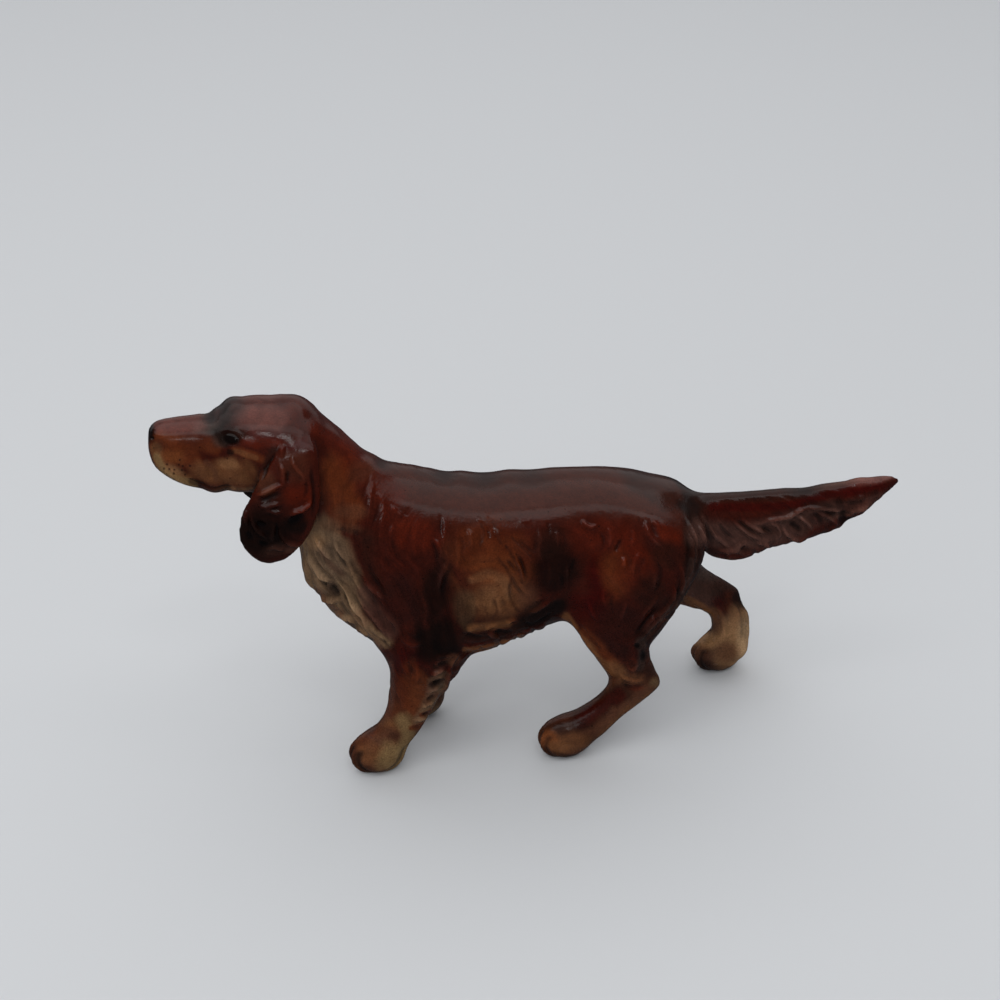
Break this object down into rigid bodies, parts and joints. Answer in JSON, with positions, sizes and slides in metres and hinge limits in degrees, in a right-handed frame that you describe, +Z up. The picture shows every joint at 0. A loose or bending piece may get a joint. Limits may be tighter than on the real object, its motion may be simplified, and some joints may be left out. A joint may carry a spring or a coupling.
{
  "type": "porcelain dog figurine",
  "caption": "Glazed porcelain setter in a pointing stride, head level and tail straight out, slip-cast in pieces and luted together.",
  "frame": {"origin": "on the surface the dog stands on, under the middle of its length and width", "axes": "+X along the body towards the tail, so the nose points to -X; +Y to the dog's right side; +Z up"},
  "size_m": [0.1891, 0.0389, 0.106],
  "materials": {
    "body_glaze": "airbrushed mahogany, rust, black and cream under a clear gloss glaze",
    "head_glaze": "airbrushed mahogany and rust with a tan muzzle under a clear gloss glaze",
    "ear_glaze": "airbrushed dark red-brown, near black at the tip, under a clear gloss glaze",
    "tail_glaze": "airbrushed mahogany with a brown feather under a clear gloss glaze",
    "leg_glaze": "airbrushed red-brown, fading to tan and cream paws, under a clear gloss glaze"
  },
  "bodies": {
    "root": {"torso": "body_glaze", "head": "head_glaze", "ear_left": "ear_glaze", "ear_right": "ear_glaze", "tail": "tail_glaze", "foreleg_left": "leg_glaze", "foreleg_right": "leg_glaze", "hind_leg_left": "leg_glaze", "hind_leg_right": "leg_glaze"}
  },
  "joints": []
}
